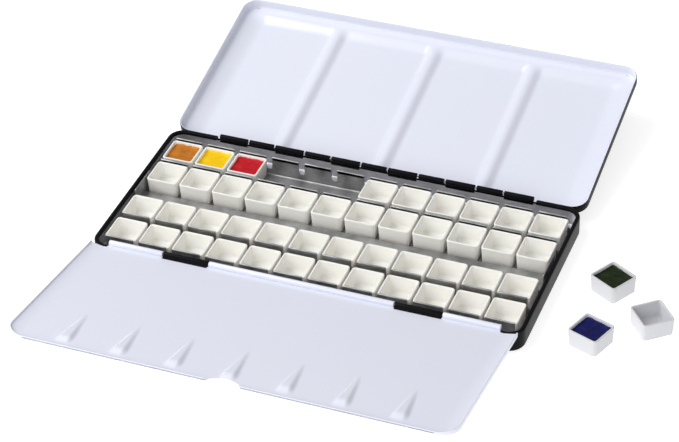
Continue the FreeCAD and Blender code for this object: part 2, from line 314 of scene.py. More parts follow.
def roundedRectangle(x0, x1, y0, y1, radius, segments):
    # points with their outward directions, from the near side's middle, anticlockwise
    points = [(Vector(((x0 + x1) / 2, y0, 0)), Vector((0, -1, 0)))]
    corners = ((x1 - radius, y0 + radius, -90), (x1 - radius, y1 - radius, 0),
               (x0 + radius, y1 - radius, 90), (x0 + radius, y0 + radius, 180))
    for cx, cy, start in corners:
        for step in range(segments + 1):
            angle = math.radians(start + 90 * step / segments)
            outward = Vector((math.cos(angle), math.sin(angle), 0))
            points.append((Vector((cx, cy, 0)) + outward * radius, outward))
    return points


def openedAtNear(points, halfGap):
    # the same outline with the near side left open between -halfGap and halfGap
    near = points[0][0].y
    down = Vector((0, -1, 0))
    start = (Vector((halfGap, near, 0)), down)
    end = (Vector((-halfGap, near, 0)), down)
    return [start] + points[1:] + [end]


def sweep(bm, path, profile, closed=True, finish=None):
    # profile gives (inset, height) pairs round the section; each becomes a ring along the path
    rings = []
    for inset, height in profile:
        rings.append([point - outward * inset + Vector((0, 0, height)) for point, outward in path])
    made = loft(bm, rings, closedRings=closed, closedAlong=True, finish=finish)
    if not closed:
        for place in (0, -1):
            bm.faces.new([ring[place] for ring in made])
    return made


def arcPoints(cx, cz, radius, start, end, steps):
    points = []
    for step in range(steps + 1):
        angle = math.radians(start + (end - start) * step / steps)
        points.append((cx + radius * math.cos(angle), cz + radius * math.sin(angle)))
    return points


def extrudeAlongX(bm, section, x0, x1, finishIndex=0, soften=0.0):
    # section is a list of (y, z) points; the ends can be drawn in a little
    rings = []
    cy = sum(y for y, z in section) / len(section)
    cz = sum(z for y, z in section) / len(section)
    ends = [(x0, 1.0), (x1, 1.0)]
    if soften:
        ends = [(x0, 0.86), (x0 + soften * 0.3, 0.95), (x0 + soften, 1.0),
                (x1 - soften, 1.0), (x1 - soften * 0.3, 0.95), (x1, 0.86)]
    for x, shrink in ends:
        rings.append([Vector((x, cy + (y - cy) * shrink, cz + (z - cz) * shrink)) for y, z in section])
    loft(bm, rings, capEnds=True, finish=lambda index: finishIndex)


def heightSheet(bm, columns, rows, place, top, thickness, topFinish=0, underFinish=0):
    # place(u, v) gives x and y, top(x, y) the height of the upper face
    upper = []
    lower = []
    for u in columns:
        highLine = []
        lowLine = []
        for v in rows:
            x, y = place(u, v)
            z = top(x, y)
            highLine.append(bm.verts.new((x, y, z)))
            lowLine.append(bm.verts.new((x, y, z - thickness)))
        upper.append(highLine)
        lower.append(lowLine)
    for layer, index, flip in ((upper, topFinish, False), (lower, underFinish, True)):
        for i in range(len(columns) - 1):
            for j in range(len(rows) - 1):
                corners = (layer[i][j], layer[i + 1][j], layer[i + 1][j + 1], layer[i][j + 1])
                face = bm.faces.new(corners[::-1] if flip else corners)
                face.material_index = index
    lastColumn = len(columns) - 1
    lastRow = len(rows) - 1
    for i in range(lastColumn):
        for j in (0, lastRow):
            face = bm.faces.new((upper[i][j], upper[i + 1][j], lower[i + 1][j], lower[i][j]))
            face.material_index = topFinish
    for j in range(lastRow):
        for i in (0, lastColumn):
            face = bm.faces.new((upper[i][j], upper[i][j + 1], lower[i][j + 1], lower[i][j]))
            face.material_index = topFinish


def smoothStep(value):
    value = min(max(value, 0.0), 1.0)
    return value * value * (3 - 2 * value)


def spread(start, end, spacing):
    count = max(1, round(abs(end - start) / spacing))
    return [start + (end - start) * step / count for step in range(count + 1)]


def knuckle(bm, x0, x1, y, z, outer, bore, finishIndex=0):
    # rolled sheet barrel with a bore and slightly rounded ends
    steps = 28
    rings = []
    for x, radius in ((x0, bore), (x0, outer - 0.25), (x0 + 0.08, outer - 0.07), (x0 + 0.3, outer),
                      (x1 - 0.3, outer), (x1 - 0.08, outer - 0.07), (x1, outer - 0.25), (x1, bore)):
        rings.append([Vector((x, y + radius * math.cos(2 * math.pi * k / steps),
                              z + radius * math.sin(2 * math.pi * k / steps))) for k in range(steps)])
    loft(bm, rings, closedAlong=True, finish=lambda index: finishIndex)


# base tin
tin = {"length": 245.0, "depth": 115.8, "height": 12.2, "wall": 0.8, "corner": 9.0, "rim": 2.4,
       "roll": 2.2, "foot": 1.6, "floorInset": 4.0, "floorFillet": 1.4, "rimRound": 0.9, "hem": 0.35,
       "frontEdge": 1.55, "edgeBreak": 0.1}
rearAxis = Vector(joints["lid_hinge"]["pos_m"]) / mm
frontAxis = Vector(joints["flap_hinge"]["pos_m"]) / mm
rearHinge = {"y": rearAxis.y, "z": rearAxis.z, "barrel": 1.5, "bore": 0.61, "step": 17.05,
             "baseKnuckle": 17.0, "lidKnuckle": 14.8, "opening": 95.75, "tabLow": 8.6, "tabHigh": 11.0}
frontHinge = {"y": frontAxis.y, "z": frontAxis.z, "barrel": 1.6, "bore": 0.66, "baseInner": 53.0,
              "baseOuter": 79.0, "flapOuter": 111.0, "gap": 0.5, "tabLow": 11.4, "tabSheet": 0.8}


def rearSpans(odd, width):
    spans = []
    for step in range(-5, 6):
        if step % 2 == odd:
            centre = step * rearHinge["step"]
            spans.append((centre - width / 2, centre + width / 2))
    return spans


def flapSpans():
    # where the flap's barrels sit along the front hinge
    outer = frontHinge["flapOuter"]
    past = frontHinge["baseOuter"] + frontHinge["gap"]
    inner = frontHinge["baseInner"] - frontHinge["gap"]
    return (-outer, -past), (-inner, inner), (past, outer)


def tinOutline():
    x = tin["length"] / 2
    y = tin["depth"] / 2
    return roundedRectangle(-x, x, -y, y, tin["corner"], cornerSteps)


def rimRun(side):
    # one side of the outline, from the end of the front hinge round to the end of the rear hinge
    y = tin["depth"] / 2
    half = tinOutline()[1:1 + 2 * (cornerSteps + 1)]
    start = (Vector((frontHinge["flapOuter"] + frontHinge["gap"], -y, 0)), Vector((0, -1, 0)))
    end = (Vector((rearHinge["opening"], y, 0)), Vector((0, 1, 0)))
    run = [start] + half + [end]
    return [(Vector((side * p.x, p.y, 0)), Vector((side * n.x, n.y, 0))) for p, n in run]


def rollProfile():
    # section of the rolled rim, with the number of its bands that are lacquered
    wall = tin["wall"]
    rim = tin["rim"]
    bend = tin["rimRound"]
    top = tin["height"] - bend
    low = tin["height"] - tin["roll"]
    roll = [(0.0, low - tin["hem"]), (0.0, top)] + \
        [(bend - x, z) for x, z in arcPoints(0, top, bend, 20, 90, 5)] + \
        [(rim - bend - x, z) for x, z in arcPoints(0, top, bend, 90, 180, 6)] + \
        [(rim, low + 0.5), (rim - 0.5, low), (wall + 0.02, low - tin["hem"])]
    return roll, len(roll) - 2


def makeTin():
    bm = bmesh.new()
    wall = tin["wall"]
    lowRim = tin["height"] - tin["roll"]
    wallTop = lowRim - 0.3
    foot = tin["foot"]
    fillet = tin["floorFillet"]
    # pan below the rolled rim: outside lacquered, inside bare
    outside = [(tin["floorInset"], 0.0), (foot, 0.0)] + \
        [(foot - x, z) for x, z in arcPoints(0, foot, foot, -75, 0, 5)] + [(0.0, wallTop)]
    inside = [(wall, wallTop), (wall, wall + foot)] + \
        [(wall + fillet - x, z) for x, z in arcPoints(0, wall + fillet, fillet, 0, -90, 5)] + \
        [(tin["floorInset"], wall)]
    outsideBands = len(outside)
    made = sweep(bm, tinOutline(), outside + inside, finish=lambda index: 0 if index < outsideBands else 1)
    for ring, index in ((made[0], 0), (made[-1], 1)):
        face = bm.faces.new(ring)
        face.material_index = index
    # rolled rim, open along the rear hinge and along the flap's barrels
    roll, rollBands = rollProfile()
    front = -tin["depth"] / 2
    near = Vector((0, -1, 0))
    frontSpans = [(-frontHinge["baseOuter"], -frontHinge["baseInner"]),
                  (frontHinge["baseInner"], frontHinge["baseOuter"])]
    runs = [rimRun(1), rimRun(-1)]
    runs += [[(Vector((x0, front, 0)), near), (Vector((x1, front, 0)), near)] for x0, x1 in frontSpans]
    for run in runs:
        sweep(bm, run, roll, closed=False, finish=lambda index: 0 if index < rollBands else 1)
    # knuckles and their tabs
    rear = tin["depth"] / 2
    low = rearHinge["tabLow"]
    high = rearHinge["tabHigh"]
    for x0, x1 in rearSpans(1, rearHinge["baseKnuckle"]):
        knuckle(bm, x0, x1, rearHinge["y"], rearHinge["z"], rearHinge["barrel"], rearHinge["bore"])
        extrudeAlongX(bm, [(rear, low), (rear, high), (rear - wall, high), (rear - wall, low)], x0, x1)
    low = frontHinge["tabLow"]
    high = frontHinge["z"]
    outer = frontHinge["y"] - frontHinge["barrel"]
    inner = outer + frontHinge["tabSheet"]
    for x0, x1 in frontSpans:
        knuckle(bm, x0, x1, frontHinge["y"], frontHinge["z"], frontHinge["barrel"], frontHinge["bore"])
        extrudeAlongX(bm, [(outer, low), (outer, high), (inner, high), (inner, low)], x0, x1)
    # plain edge of the front wall beneath the flap's barrels
    edge = lowRim + tin["frontEdge"]
    cut = tin["edgeBreak"]
    low = lowRim - 0.4
    for x0, x1 in flapSpans():
        section = [(front, low), (front, edge - cut), (front + cut, edge), (front + wall - cut, edge),
                   (front + wall, edge - cut), (front + wall, low)]
        extrudeAlongX(bm, section, x0 - frontHinge["gap"], x1 + frontHinge["gap"])
    made = objectFrom(bm, "tinBase", [blackLacquer, brightTin])
    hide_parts("base_tin")
    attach(made, "tin")
    return made


makeTin()
print("base tin made")


# pan holder
pan = {"width": 18.3, "depth": 18.0, "height": 10.5, "wall": 1.15, "floor": 1.3, "draft": 0.5,
       "corner": 1.8, "cavityLean": 0.2, "cavityCorner": 1.2, "pitch": 19.7, "seat": 1.6}
# the clips' hems rise above the pan rims by "stand"
holder = {"floor": 1.5, "sheet": 0.6, "centre": -1.0, "channel": 15.5, "rowPitch": pan["depth"] + 3.8,
          "bridge": 4.2, "clip": 16.2, "clipSheet": 0.5, "gap": 0.15, "hem": 1.0, "curb": 3.4,
          "halfLength": 118.9, "plate": 20.6, "plateShift": 5.5, "plateSheet": 0.6, "plateProud": 0.4,
          "plateRound": 1.2, "bend": 1.0, "stand": 1.2, "edge": 1.2, "bridgeInset": 0.7,
          "bridgeRound": 0.9, "tabRound": 0.4}
pansPerRow = 12
panDeep = pan["depth"]
rowCentre = {
    1: holder["centre"] + holder["channel"] / 2 + panDeep / 2 + holder["rowPitch"],
    2: holder["centre"] + holder["channel"] / 2 + panDeep / 2,
    3: holder["centre"] - holder["channel"] / 2 - panDeep / 2,
    4: holder["centre"] - holder["channel"] / 2 - panDeep / 2 - holder["rowPitch"],
}


def panX(column):
    return (column - (pansPerRow + 1) / 2) * pan["pitch"]


def clipWall(bm, y, direction):
    # one upright strip with a tab for each pan and round-bottomed slots between the tabs
    half = holder["halfLength"] - 0.4
    low = holder["floor"] + holder["bend"]
    curb = holder["floor"] + holder["curb"]
    hemTop = pan["seat"] + pan["height"] + holder["stand"]
    top = hemTop - 0.5
    corner = holder["tabRound"]
    slot = (pan["pitch"] - holder["clip"]) / 2
    slotSteps = 8
    outline = [(-half, low), (half, low), (half, curb)]
    for column in range(pansPerRow, 0, -1):
        right = panX(column) + holder["clip"] / 2
        left = panX(column) - holder["clip"] / 2
        outline.append((right, curb + slot))
        outline.append((right, top - corner))
        outline.append((right - corner, top))
        outline.append((left + corner, top))
        outline.append((left, top - corner))
        if column > 1:
            outline.append((left, curb + slot))
            for step in range(1, slotSteps):
                angle = math.radians(-180 * step / slotSteps)
                outline.append((left - slot + slot * math.cos(angle), curb + slot + slot * math.sin(angle)))
    outline.append((panX(1) - holder["clip"] / 2, curb))
    outline.append((-half, curb))
    near = y + direction * holder["gap"]
    far = near + direction * holder["clipSheet"]
    rings = [[Vector((x, side, z)) for x, z in outline] for side in (near, far)]
    loft(bm, rings, capEnds=True)
    # bend at the foot of the strip
    bend = holder["bend"]
    reach = bend + holder["clipSheet"]
    turns = [math.radians(15 * step) for step in range(7)]
    outer = [(far - direction * reach * (1 - math.cos(turn)), low - bend * math.sin(turn)) for turn in turns]
    inner = [(near - direction * bend * (1 - math.cos(turn)), low - bend * math.sin(turn) + 0.02)
             for turn in turns]
    extrudeAlongX(bm, outer + inner[::-1], -half, half)
    # folded hems along the tab tops
    section = hemSection(near, direction, hemTop)
    for column in range(1, pansPerRow + 1):
        x0 = panX(column) - holder["clip"] / 2
        extrudeAlongX(bm, section, x0, x0 + holder["clip"], soften=0.3)


def hemSection(near, direction, top):
    # sheet rolled over away from the pan: a flattened drop open at its lower end
    radius = holder["hem"] / 2
    centre = near + direction * radius
    points = [(centre - direction * out, z) for out, z in arcPoints(0, top - radius, radius, 0, 180, 10)]
    lip = holder["hem"]
    sheet = holder["clipSheet"]
    for out, drop in ((lip, 1.9), (lip - 0.25, 2.0), (lip - 0.3, radius + 0.1), (sheet + 0.05, radius + 0.1),
                      (sheet, 2.0), (0.0, 2.0)):
        points.append((near + direction * out, top - drop))
    return points


def channelSection():
    # bridge between the second and third rows, with rounded shoulders
    half = holder["channel"] / 2 - holder["bridgeInset"]
    low = holder["floor"]
    top = holder["bridge"]
    r = holder["bridgeRound"]
    outer = [(-half - 0.8, low), (-half - 0.25, low + 0.25), (-half, low + 0.9)] + \
        [(-half + r + x, z) for x, z in arcPoints(0, top - r, r, 180, 90, 5)] + \
        [(half - r + x, z) for x, z in arcPoints(0, top - r, r, 90, 0, 5)] + \
        [(half, low + 0.9), (half + 0.25, low + 0.25), (half + 0.8, low)]
    innerHalf = [(half + 0.3, low - 0.4), (half - 0.6, low + 0.6), (half - 0.6, top - 0.9),
                 (half - 1.0, top - 0.55)]
    inner = innerHalf + [(-y, z) for y, z in reversed(innerHalf)]
    return [(holder["centre"] + y, z) for y, z in outer + inner]


def endPlate(bm, side):
    x0 = side * (holder["halfLength"] - holder["plateSheet"])
    x1 = side * holder["halfLength"]
    y0 = holder["centre"] + holder["plateShift"] - holder["plate"] / 2
    y1 = y0 + holder["plate"]
    low = holder["floor"] - 0.1
    corner = holder["plateRound"]
    high = pan["seat"] + pan["height"] + holder["plateProud"] - corner
    outline = [(y0, low), (y1, low), (y1, high)]
    outline += [(y1 - corner + x, z) for x, z in arcPoints(0, high, corner, 15, 90, 5)]
    outline += [(y0 + corner + x, z) for x, z in arcPoints(0, high, corner, 90, 165, 5)]
    outline.append((y0, high))
    middle = (x0 + x1) / 2
    cy = (y0 + y1) / 2
    # faces drawn in slightly, to break the edges
    faceShare = 0.992
    shoulder = 0.3
    rings = []
    places = ((x0, faceShare), (x0 + (middle - x0) * shoulder, 1.0),
              (x1 + (middle - x1) * shoulder, 1.0), (x1, faceShare))
    for x, share in places:
        rings.append([Vector((x, cy + (y - cy) * share, low + (z - low) * share)) for y, z in outline])
    loft(bm, rings, capEnds=True)


def makeHolder():
    bm = bmesh.new()
    half = holder["halfLength"]
    low = holder["floor"] - holder["sheet"]
    top = holder["floor"]
    inward = holder["channel"] / 2 - 0.3
    rear = rowCentre[1] + panDeep / 2 + holder["edge"]
    front = rowCentre[4] - panDeep / 2 - holder["edge"]
    cut = 0.15
    for y0, y1 in ((holder["centre"] + inward, rear), (front, holder["centre"] - inward)):
        section = [(y0, low), (y1, low), (y1, top - cut), (y1 - cut, top), (y0 + cut, top), (y0, top - cut)]
        extrudeAlongX(bm, section, -half, half)
    extrudeAlongX(bm, channelSection(), -half, half)
    for row in (1, 2, 3, 4):
        direction = 1 if row < 3 else -1
        clipWall(bm, rowCentre[row] + direction * panDeep / 2, direction)
    for side in (-1, 1):
        endPlate(bm, side)
    made = objectFrom(bm, "panHolder", [holderShadedTin])
    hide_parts("pan_holder")
    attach(made, "tin")
    return made


makeHolder()
print("pan holder made")


# mixing lid
lid = {"depth": tin["depth"], "rise": 10.5, "skirt": 6.0, "wall": 0.7, "sheet": 0.6,
       "corner": tin["corner"], "wells": 4, "drop": 2.2, "slope": 5.5, "outerSlope": 13.0,
       "farSlope": 9.0, "nearSlope": 2.0, "sideLedge": 1.2, "farLedge": 4.5, "nearLedge": 2.2,
       "crest": 1.2, "fillet": 1.3, "foot": 2.0, "backRound": 1.4, "hingeWall": -2.4, "behindAxis": 0.3,
       "belowAxis": 0.55, "grid": 1.0, "tabLow": -2.8, "tabHigh": 0.3}


def lidWells():
    # each well's left, right, near and far edges with the widths of its left and right slopes
    left = -tin["length"] / 2 + lid["wall"] + lid["sideLedge"]
    width = (-2 * left - lid["crest"] * (lid["wells"] - 1)) / lid["wells"]
    far = lid["depth"] - lid["wall"] - lid["farLedge"]
    wells = []
    for index in range(lid["wells"]):
        x0 = left + index * (width + lid["crest"])
        leftSlope = lid["outerSlope"] if index == 0 else lid["slope"]
        rightSlope = lid["outerSlope"] if index == lid["wells"] - 1 else lid["slope"]
        wells.append((x0, x0 + width, lid["nearLedge"], far, leftSlope, rightSlope))
    return wells


def lidFloor(x, y):
    depth = 0.0
    for x0, x1, near, far, leftSlope, rightSlope in lidWells():
        if x0 < x < x1:
            across = smoothStep((x - x0) / leftSlope) * smoothStep((x1 - x) / rightSlope)
            along = smoothStep((y - near) / lid["nearSlope"]) * smoothStep((far - y) / lid["farSlope"])
            depth = across * along
    return lid["sheet"] - lid["skirt"] - lid["drop"] * depth


def cornerMapped(halfX, y0, y1, radius):
    # squares the grid into a rounded rectangle by drawing its outer columns in towards the corners
    def place(u, v):
        fromEnd = min(v - y0, y1 - v)
        reach = halfX
        if fromEnd < radius:
            reach = halfX - radius + math.sqrt(max(radius ** 2 - (radius - fromEnd) ** 2, 0.0))
        inner = halfX - radius
        if abs(u) <= inner:
            return u, v
        stretch = (abs(u) - inner) / radius * (reach - inner)
        return math.copysign(inner + stretch, u), v
    return place


def placedAtLid(bm):
    # built flat with the rim at z = 0 and the hinge wall along y = 0, then hung on the hinge as it stands
    tilt = math.radians(lid["rise"])
    bmesh.ops.translate(bm, verts=bm.verts, vec=(0, lid["behindAxis"], -lid["belowAxis"]))
    bmesh.ops.rotate(bm, verts=bm.verts, cent=(0, 0, 0), matrix=Matrix.Rotation(tilt, 3, "X"))
    bmesh.ops.translate(bm, verts=bm.verts, vec=rearAxis)


def makeLid():
    bm = bmesh.new()
    half = tin["length"] / 2
    wall = lid["wall"]
    low = -lid["skirt"]
    ledge = lid["sheet"] + low
    fillet = lid["fillet"]
    foot = lid["foot"]
    back = lid["backRound"]
    # skirt: white inside, black outside
    inner = [(foot, ledge)] + \
        [(wall + fillet - x, z) for x, z in arcPoints(0, ledge + fillet, fillet, -75, 0, 5)] + \
        [(wall, -0.35), (wall * 0.85, -0.12), (wall * 0.6, -0.02)]
    outer = [(wall * 0.35, 0.0), (0.08, -0.12), (0.0, -0.4), (0.0, low + back)] + \
        [(back - x, z) for x, z in arcPoints(0, low + back, back, -15, -90, 5)] + [(foot, low)]
    innerBands = len(inner)
    outline = roundedRectangle(-half, half, 0, lid["depth"], lid["corner"], cornerSteps)
    gap = rearHinge["opening"]
    sweep(bm, openedAtNear(outline, gap), inner + outer, closed=False,
          finish=lambda index: 0 if index < innerBands else 1)
    # low wall along the hinge
    wallTop = lid["hingeWall"]
    section = [(0.0, low + back), (0.4, low + 0.5), (1.2, low), (foot, low), (foot, ledge),
               (wall + 0.5, ledge + 0.2), (wall, ledge + 0.7), (wall, wallTop), (0.0, wallTop)]
    extrudeAlongX(bm, section, -gap, gap, finishIndex=1)
    # pressed floor with its wells, a hair inside the skirt's foot
    inset = foot - 0.1
    hair = 0.015
    columns = spread(-half + inset, half - inset, lid["grid"])
    rows = spread(inset, lid["depth"] - inset, lid["grid"])
    place = cornerMapped(half - inset, inset, lid["depth"] - inset, lid["corner"] - inset)
    heightSheet(bm, columns, rows, place, lambda x, y: lidFloor(x, y) - hair, lid["sheet"] - 2 * hair, 0, 1)
    # knuckles and their tabs
    tabLow = lid["tabLow"]
    tabHigh = lid["tabHigh"]
    for x0, x1 in rearSpans(0, rearHinge["lidKnuckle"]):
        knuckle(bm, x0, x1, -lid["behindAxis"], lid["belowAxis"], rearHinge["barrel"], rearHinge["bore"], 1)
        extrudeAlongX(bm, [(0.0, tabLow), (0.0, tabHigh), (wall, tabHigh), (wall, tabLow)], x0, x1, 1)
    placedAtLid(bm)
    made = objectFrom(bm, "mixingLid", [whiteEnamel, blackLacquer], 50)
    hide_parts("mixing_lid")
    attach(made, "lid")
    return made


makeLid()
print("mixing lid made")


# palette flap
flap = {"length": 105.8, "rise": 9.1, "width": 241.8, "sheet": 0.6, "rim": 2.1, "lip": 0.9,
        "corner": 10.0, "ridges": 7, "ridgeStep": 30.0, "ridgeLength": 25.0, "ridgeWidth": 9.0,
        "ridgeHeight": 1.6, "ridgeSetback": 9.0, "ridgeTip": 0.7, "ridgeFade": 6.0, "ridgeFlank": 0.55,
        "upturn": 9.0, "sideUpturn": 1.5, "lipUpturn": 0.4, "notchWidth": 18.0, "notchDepth": 4.8,
        "endCut": 3.2, "endCutShift": 2.8, "knuckleCut": 3.0, "cutRadius": 3.4, "rimInset": 0.35}


def freeEdge(x):
    # y of the free edge: rounded corners and the thumb notch
    half = flap["width"] / 2
    y = -flap["length"]
    beyond = abs(x) - (half - flap["corner"])
    if beyond > 0:
        y += flap["corner"] - math.sqrt(max(flap["corner"] ** 2 - beyond ** 2, 0.0))
    across = abs(x) / (flap["notchWidth"] / 2)
    if across < 1:
        y += flap["notchDepth"] * math.sqrt(1 - across ** 2)
    return y


def hingeEdge(x):
    # y of the edge along the hinge, cut back for the base knuckles and at both ends
    size = abs(x)
    if size > frontHinge["flapOuter"]:
        beyond = size - frontHinge["flapOuter"] - flap["endCutShift"]
        if abs(beyond) < flap["cutRadius"]:
            return -max(flap["endCut"], math.sqrt(flap["cutRadius"] ** 2 - beyond ** 2))
        return -flap["endCut"]
    if frontHinge["baseInner"] - frontHinge["gap"] < size < frontHinge["baseOuter"] + frontHinge["gap"]:
        return -flap["knuckleCut"]
    return 0.0


def flapTop(x, y):
    # sides and free edge turn up softly before the rim
    side = max(0.0, 1 - (flap["width"] / 2 - abs(x)) / flap["upturn"])
    front = max(0.0, 1 - (flap["length"] + y) / (flap["upturn"] * 0.5))
    height = flap["sideUpturn"] * side ** 2 + flap["lipUpturn"] * front ** 2
    # ridges widen and grow from a point towards the free edge
    end = -(flap["length"] - flap["ridgeSetback"])
    tip = end + flap["ridgeLength"]
    along = (tip - y) / flap["ridgeLength"]
    if along > 0:
        grow = min(along, 1.0)
        fade = smoothStep(1 - (end - y) / flap["ridgeFade"]) if y < end else 1.0
        crest = flap["ridgeHeight"] * grow ** 0.8 * fade
        middle = (flap["ridges"] - 1) / 2
        reach = flap["ridgeTip"] + (flap["ridgeWidth"] / 2 - flap["ridgeTip"]) * grow
        for index in range(flap["ridges"]):
            across = abs(x - (index - middle) * flap["ridgeStep"])
            height = max(height, crest * smoothStep((reach - across) / (reach * flap["ridgeFlank"])))
    return height


def flapColumns():
    # grid lines across the flap, with pairs close together where the hinge edge steps
    half = flap["width"] / 2
    marks = [0.0, flap["notchWidth"] / 2, frontHinge["baseInner"] - frontHinge["gap"],
             frontHinge["baseOuter"] + frontHinge["gap"], frontHinge["flapOuter"], half]
    side = []
    for start, end in zip(marks, marks[1:]):
        side += spread(start, end, 0.8)[:-1]
        side.append(end - 0.01)
    side += [half - (1 - math.cos(math.radians(angle))) * 2.0 for angle in range(6, 60, 6)]
    side = sorted(set(round(x, 4) for x in side))
    return [-x for x in reversed(side) if x > 0] + side


def placedAtFlap(bm):
    tilt = math.radians(-flap["rise"])
    bmesh.ops.translate(bm, verts=bm.verts, vec=(0, 0, flap["sheet"] - frontHinge["barrel"]))
    bmesh.ops.rotate(bm, verts=bm.verts, cent=(0, 0, 0), matrix=Matrix.Rotation(tilt, 3, "X"))
    bmesh.ops.translate(bm, verts=bm.verts, vec=frontAxis)


def flapRim(bm):
    # upstand down both sides that sinks to a low lip along the free edge
    half = flap["width"] / 2
    radius = flap["corner"]
    length = flap["length"]
    steps = 15
    path = []
    for y in spread(-flap["endCut"], -length + radius, 6.0):
        path.append((Vector((-half, y, 0)), Vector((-1, 0, 0)), 1.0))
    for step in range(1, steps):
        angle = math.radians(180 + 90 * step / steps)
        outward = Vector((math.cos(angle), math.sin(angle), 0))
        share = 1 - smoothStep((step / steps - 0.35) / 0.65)
        path.append((Vector((-half + radius, -length + radius, 0)) + outward * radius, outward, share))
    notch = flap["notchWidth"] / 2
    for x in spread(-half + radius, -notch - 0.4, 6.0):
        path.append((Vector((x, -length, 0)), Vector((0, -1, 0)), 0.0))
    mirrored = [(Vector((-p.x, p.y, 0)), Vector((-n.x, n.y, 0)), share) for p, n, share in path]
    under = -0.55
    for run in (path, mirrored):
        sections = []
        for point, outward, share in run:
            high = flap["lip"] + (flap["rim"] - flap["lip"]) * share
            profile = ((0.0, under), (0.0, high - 0.25), (0.1, high - 0.06), (0.3, high), (0.5, high - 0.04),
                       (0.66, high - 0.22), (0.72, high - 0.5), (1.0, 0.3), (1.3, 0.1), (1.3, under))
            sections.append([point - outward * inset + Vector((0, 0, level)) for inset, level in profile])
        loft(bm, sections, capEnds=True)


def makeFlap():
    bm = bmesh.new()
    # shares of the way from the hinge edge to the free edge, finer over the ridges
    rows = [0.0, 0.01] + spread(0.02, 0.70, 0.02) + spread(0.71, 1.0, 0.0085)

    def place(u, v):
        start = hingeEdge(u)
        end = freeEdge(u)
        return u * (1 - flap["rimInset"] / (flap["width"] / 2)), start + (end - start) * v

    heightSheet(bm, flapColumns(), rows, place, flapTop, flap["sheet"])
    flapRim(bm)
    barrel = frontHinge["barrel"]
    height = barrel - flap["sheet"]
    for x0, x1 in flapSpans():
        knuckle(bm, x0, x1, 0, height, barrel, frontHinge["bore"])
    placedAtFlap(bm)
    made = objectFrom(bm, "paletteFlap", [whiteEnamel], 50)
    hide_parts("palette_flap")
    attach(made, "flap")
    return made


makeFlap()
print("palette flap made")


# hinge wires: the CAD rods are shown as they are
for wireNode in ("rear_hinge_wire", "front_hinge_wire"):
    wire = nodes[wireNode]
    wire.data.materials.clear()
    wire.data.materials.append(wireSteel)
    wire.data.shade_smooth()


# half pans
def ringAt(width, depth, corner, z):
    outline = roundedRectangle(-width / 2, width / 2, -depth / 2, depth / 2, corner, 6)[1:]
    return [point + Vector((0, 0, z)) for point, outward in outline]


def cavityLeanAt(z):
    # how far the cavity's walls have leant in at height z, from none at the rim
    return (pan["draft"] + pan["cavityLean"]) * (1 - (z - pan["floor"]) / (pan["height"] - pan["floor"]))


def panMesh():
    bm = bmesh.new()
    w = pan["width"]
    d = pan["depth"]
    h = pan["height"]
    rings = []

    def outerRing(z, inset):
        shrink = 2 * (pan["draft"] * (1 - z / h) + inset)
        rings.append(ringAt(w - shrink, d - shrink, pan["corner"] - inset * 0.5, z))

    def innerRing(z, inset):
        shrink = 2 * (pan["wall"] + cavityLeanAt(z) + inset)
        rings.append(ringAt(w - shrink, d - shrink, max(pan["cavityCorner"] - inset * 0.3, 0.4), z))

    # heights with insets: foot, rim and cavity floor are rounded
    foot = ((0.35, 2.2), (0.3, 1.6), (0.0, 1.35), (0.0, 0.75), (0.07, 0.3), (0.3, 0.08), (0.6, 0.0))
    rim = ((h - 0.55, 0.0), (h - 0.3, 0.03), (h - 0.1, 0.15), (h, 0.38))
    cavity = ((2.4, 0.0), (1.8, 0.12), (1.45, 0.42), (pan["floor"], 0.95), (pan["floor"], 2.4))
    for z, inset in foot + rim:
        outerRing(z, inset)
    for z, inset in reversed(rim):
        innerRing(z, -inset)
    for z, inset in cavity:
        innerRing(z, inset)
    made = loft(bm, rings)
    bm.faces.new(made[0])
    bm.faces.new(made[-1])
    temporary = objectFrom(bm, "panShape", [panPlastic], 40)
    mesh = temporary.data
    bpy.data.objects.remove(temporary)
    return mesh


def panPlaces():
    # middle of each pan, read from its CAD node, and its turn from looseTurns
    places = {}
    for name in nodes:
        if not name.startswith("pan_") or name == "pan_holder":
            continue
        low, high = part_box(name)
        middle = (low + high) / 2
        places[name] = (Vector((middle.x, middle.y, low.z)), looseTurns.get(name, 0.0))
    return places


looseTurns = {"pan_loose_green": -29.6, "pan_loose_blue": -19.9, "pan_loose_empty": -50.5}
cupMesh = panMesh()
# the loose pans' mesh carries the painted-shade copy of the plastic
looseMesh = cupMesh.copy()
looseMesh.materials[0] = shadedLoosePlastic
panPlaced = panPlaces()
for name, (place, turn) in panPlaced.items():
    parts = name.split("_")
    shape = looseMesh if name in looseTurns else cupMesh
    cup = bpy.data.objects.new("halfPan_" + "_".join(parts[1:]), shape)
    bpy.context.scene.collection.objects.link(cup)
    cup.matrix_world = Matrix.Translation(place) @ Matrix.Rotation(math.radians(turn), 4, "Z")
    bpy.context.view_layer.update()
    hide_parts(name)
    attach(cup, name)
print("half pans made:", len(panPlaced))


# paint
cake = {"below": 1.75, "meniscus": 0.5, "climbReach": 0.55, "ragged": 0.35, "raggedReach": 0.5,
        "rough": 0.22, "spacing": 0.45, "corner": 1.1, "thickness": 1.5, "sink": 0.15, "overlap": 0.02}
paintPans = {"ochre": "pan_r1_c01", "yellow": "pan_r1_c02", "red": "pan_r1_c03", "green": "pan_loose_green",
             "blue": "pan_loose_blue"}


